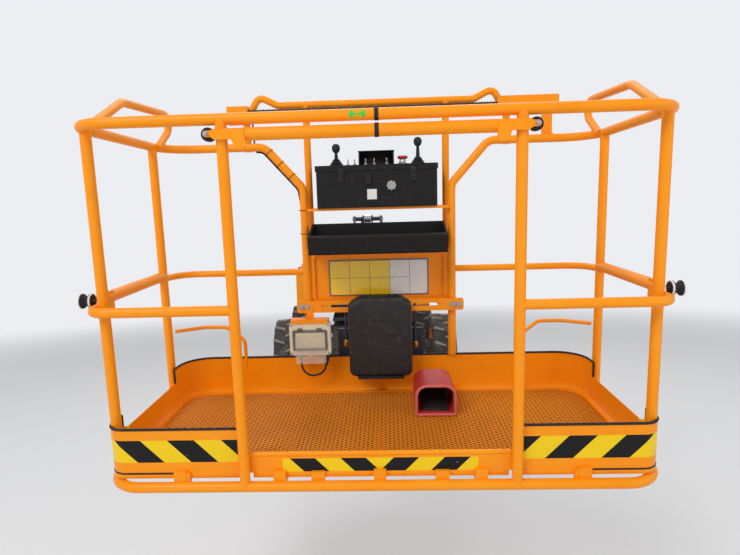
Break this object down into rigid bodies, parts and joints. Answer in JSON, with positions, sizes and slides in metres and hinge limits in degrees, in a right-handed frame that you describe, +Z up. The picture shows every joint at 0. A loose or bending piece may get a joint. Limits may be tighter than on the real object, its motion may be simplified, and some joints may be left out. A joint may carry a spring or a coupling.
{
  "type": "articulating boom lift",
  "caption": "Self-propelled boom lift: wheeled chassis, slewing turntable, tower boom, telescoping main boom, jib and a railed work platform with an entry bar.",
  "frame": {"origin": "centre of the machine's box in plan, on the ground", "axes": "+Z up, -Y towards the platform, +Y towards the counterweight, +X to the right of a viewer who faces the platform's entry"},
  "size_m": [2.29, 7.9581, 2.3176],
  "materials": {
    "orange_paint": "gloss orange-yellow paint, dusty",
    "boom_paint": "satin dark blue-grey paint",
    "cylinder_paint": "satin black paint",
    "chrome_rod": "polished",
    "chassis_paint": "satin dark grey paint, dusty",
    "engine_iron": "bare",
    "tyre_rubber": "dusty",
    "rim_paint": "satin grey paint",
    "black_plastic": "grained",
    "cream_plastic": "smooth",
    "clear_plastic": "clear, smoked",
    "red_plastic": "faded red paint"
  },
  "bodies": {
    "fly_boom": {"fly_boom": "boom_paint", "fly_head": "boom_paint"},
    "chassis": {"chassis_frame": "chassis_paint", "axle_fixed": "chassis_paint", "axle_steer": "chassis_paint"},
    "turntable": {"turntable_deck": "chassis_paint", "counterweight": "chassis_paint", "engine_block": "engine_iron"},
    "steer_rod": {"steer_rod": "chassis_paint"},
    "hood_right": {"hood_right": "orange_paint"},
    "hood_left": {"hood_left": "orange_paint"},
    "tower_boom": {"tower_boom": "boom_paint"},
    "timing_link": {"timing_link": "boom_paint"},
    "upright": {"upright": "boom_paint"},
    "main_boom": {"main_boom": "boom_paint"},
    "jib_base": {"jib_base": "boom_paint"},
    "jib_arm": {"jib_arm": "boom_paint"},
    "jib_link": {"jib_link": "boom_paint"},
    "jib_head": {"jib_head": "boom_paint"},
    "wheel_front_left": {"tyre_front_left": "tyre_rubber", "rim_front_left": "rim_paint"},
    "wheel_front_right": {"tyre_front_right": "tyre_rubber", "rim_front_right": "rim_paint"},
    "wheel_rear_left": {"tyre_rear_left": "tyre_rubber", "rim_rear_left": "rim_paint"},
    "knuckle_rear_left": {"knuckle_rear_left": "chassis_paint"},
    "wheel_rear_right": {"tyre_rear_right": "tyre_rubber", "rim_rear_right": "rim_paint"},
    "knuckle_rear_right": {"knuckle_rear_right": "chassis_paint"},
    "tower_barrel": {"tower_barrel": "cylinder_paint"},
    "tower_rod": {"tower_rod": "chrome_rod"},
    "lift_barrel": {"lift_barrel": "cylinder_paint"},
    "lift_rod": {"lift_rod": "chrome_rod"},
    "level_barrel": {"level_barrel": "cylinder_paint"},
    "level_rod": {"level_rod": "chrome_rod"},
    "jib_barrel": {"jib_barrel": "cylinder_paint"},
    "jib_rod": {"jib_rod": "chrome_rod"},
    "platform": {"platform_base": "orange_paint", "platform_floor": "orange_paint", "toe_boards": "orange_paint", "top_rail": "orange_paint", "posts": "orange_paint", "mid_rails": "orange_paint", "handrails": "orange_paint", "back_panel": "orange_paint", "console_frame": "orange_paint", "console_box": "black_plastic", "console_controls": "black_plastic", "parts_tray": "black_plastic", "document_box": "black_plastic", "socket_box": "cream_plastic", "socket_flap": "clear_plastic", "foot_guard": "red_plastic", "foot_pedal": "black_plastic", "bumpers": "black_plastic", "spiral_cable": "black_plastic", "platform_mount": "boom_paint"},
    "entry_bar": {"entry_bar": "orange_paint"}
  },
  "joints": [
    {"name": "slew", "type": "hinge", "parent": "chassis", "child": "turntable", "pos_m": [0, 2.54469, 0.69], "axis": [0, 0, 1], "continuous": true},
    {"name": "roll_front_left", "type": "hinge", "parent": "chassis", "child": "wheel_front_left", "pos_m": [-0.995, 1.52969, 0.42], "axis": [1, 0, 0], "continuous": true},
    {"name": "roll_front_right", "type": "hinge", "parent": "chassis", "child": "wheel_front_right", "pos_m": [0.995, 1.52969, 0.42], "axis": [1, 0, 0], "continuous": true},
    {"name": "steer_rear_left", "type": "hinge", "parent": "chassis", "child": "knuckle_rear_left", "pos_m": [-0.69, 3.55969, 0.42], "axis": [0, 0, 1], "range_deg": [-30, 30]},
    {"name": "roll_rear_left", "type": "hinge", "parent": "knuckle_rear_left", "child": "wheel_rear_left", "pos_m": [-0.995, 3.55969, 0.42], "axis": [1, 0, 0], "continuous": true},
    {"name": "steer_rear_right", "type": "hinge", "parent": "chassis", "child": "knuckle_rear_right", "pos_m": [0.69, 3.55969, 0.42], "axis": [0, 0, 1], "range_deg": [-30, 30]},
    {"name": "roll_rear_right", "type": "hinge", "parent": "knuckle_rear_right", "child": "wheel_rear_right", "pos_m": [0.995, 3.55969, 0.42], "axis": [1, 0, 0], "continuous": true},
    {"name": "steer_rod_slide", "type": "slide", "parent": "chassis", "child": "steer_rod", "axis": [1, 0, 0], "range_m": [-0.081, 0.081]},
    {"name": "hood_right_open", "type": "hinge", "parent": "turntable", "child": "hood_right", "pos_m": [0.422, 2.54469, 1.54], "axis": [0, -1, 0], "range_deg": [0, 75]},
    {"name": "hood_left_open", "type": "hinge", "parent": "turntable", "child": "hood_left", "pos_m": [-0.422, 2.54469, 1.54], "axis": [0, 1, 0], "range_deg": [0, 75]},
    {"name": "tower_lift", "type": "hinge", "parent": "turntable", "child": "tower_boom", "pos_m": [0, 1.92469, 1.29], "axis": [1, 0, 0], "range_deg": [0, 68]},
    {"name": "timing_link_turn", "type": "hinge", "parent": "turntable", "child": "timing_link", "pos_m": [0, 1.92469, 1.07], "axis": [1, 0, 0], "range_deg": [0, 68]},
    {"name": "upright_level", "type": "hinge", "parent": "tower_boom", "child": "upright", "pos_m": [0, 3.44469, 1.29], "axis": [1, 0, 0], "range_deg": [-68, 0]},
    {"name": "tower_barrel_turn", "type": "hinge", "parent": "turntable", "child": "tower_barrel", "pos_m": [0, 2.12469, 0.93], "axis": [1, 0, 0], "range_deg": [-0.1, 62.47]},
    {"name": "tower_rod_slide", "type": "slide", "parent": "tower_barrel", "child": "tower_rod", "axis": [0, 0.9772, 0.2124], "range_m": [-0.001, 0.44766]},
    {"name": "main_lift", "type": "hinge", "parent": "upright", "child": "main_boom", "pos_m": [0, 3.50469, 2.01], "axis": [-1, 0, 0], "range_deg": [0, 75]},
    {"name": "lift_barrel_turn", "type": "hinge", "parent": "upright", "child": "lift_barrel", "pos_m": [0, 3.37469, 1.56], "axis": [-1, 0, 0], "range_deg": [-0.1, 65.6]},
    {"name": "lift_rod_slide", "type": "slide", "parent": "lift_barrel", "child": "lift_rod", "axis": [0, -0.9898, 0.1426], "range_m": [-0.001, 0.52033]},
    {"name": "fly_extend", "type": "slide", "parent": "main_boom", "child": "fly_boom", "axis": [0, -0.9979, -0.0645], "range_m": [0, 2.6]},
    {"name": "jib_base_level", "type": "hinge", "parent": "fly_boom", "child": "jib_base", "pos_m": [0, -1.24539, 1.70283], "axis": [-1, 0, 0], "range_deg": [-75, 0]},
    {"name": "level_barrel_turn", "type": "hinge", "parent": "fly_boom", "child": "level_barrel", "pos_m": [0, -0.72539, 1.93783], "axis": [1, 0, 0], "range_deg": [-0.1, 8.35]},
    {"name": "level_rod_slide", "type": "slide", "parent": "level_barrel", "child": "level_rod", "axis": [0, -0.9982, -0.0604], "range_m": [-0.001, 0.2405]},
    {"name": "jib_lift", "type": "hinge", "parent": "jib_base", "child": "jib_arm", "pos_m": [0, -1.3118, 1.58413], "axis": [-1, 0, 0], "range_deg": [-20, 70]},
    {"name": "jib_link_turn", "type": "hinge", "parent": "jib_base", "child": "jib_link", "pos_m": [0, -1.33193, 1.75293], "axis": [-1, 0, 0], "range_deg": [-20, 70]},
    {"name": "jib_head_level", "type": "hinge", "parent": "jib_arm", "child": "jib_head", "pos_m": [0, -2.51854, 1.06258], "axis": [-1, 0, 0], "range_deg": [-70, 20]},
    {"name": "jib_barrel_turn", "type": "hinge", "parent": "jib_base", "child": "jib_barrel", "pos_m": [0, -1.31235, 1.37761], "axis": [-1, 0, 0], "range_deg": [-19.71, 68.75]},
    {"name": "jib_rod_slide", "type": "slide", "parent": "jib_barrel", "child": "jib_rod", "axis": [0, -0.9407, -0.3393], "range_m": [-0.06699, 0.23196]},
    {"name": "platform_rotate", "type": "hinge", "parent": "jib_head", "child": "platform", "pos_m": [0, -2.7819, 0.99089], "axis": [0, -0.1184, 0.993], "range_deg": [-76, 84]},
    {"name": "entry_bar_drop", "type": "slide", "parent": "platform", "child": "entry_bar", "axis": [0, 0.1184, -0.993], "range_m": [0, 0.483]}
  ],
  "couplings": [
    {"joint": "steer_rear_right", "follows": "steer_rear_left", "ratio": 1},
    {"joint": "steer_rod_slide", "follows": "steer_rear_left", "m_per_rad": -0.15279},
    {"joint": "timing_link_turn", "follows": "tower_lift", "ratio": 1},
    {"joint": "upright_level", "follows": "tower_lift", "ratio": -1},
    {"joint": "tower_barrel_turn", "follows": "tower_lift", "ratio": 0.91715},
    {"joint": "tower_rod_slide", "follows": "tower_lift", "m_per_rad": 0.37635},
    {"joint": "lift_barrel_turn", "follows": "main_lift", "ratio": 0.87334},
    {"joint": "lift_rod_slide", "follows": "main_lift", "m_per_rad": 0.39674},
    {"joint": "jib_base_level", "follows": "main_lift", "ratio": -1},
    {"joint": "level_barrel_turn", "follows": "main_lift", "ratio": 0.11},
    {"joint": "level_rod_slide", "follows": "main_lift", "m_per_rad": 0.18296},
    {"joint": "jib_link_turn", "follows": "jib_lift", "ratio": 1},
    {"joint": "jib_head_level", "follows": "jib_lift", "ratio": -1},
    {"joint": "jib_barrel_turn", "follows": "jib_lift", "ratio": 0.98077},
    {"joint": "jib_rod_slide", "follows": "jib_lift", "m_per_rad": 0.18904}
  ]
}
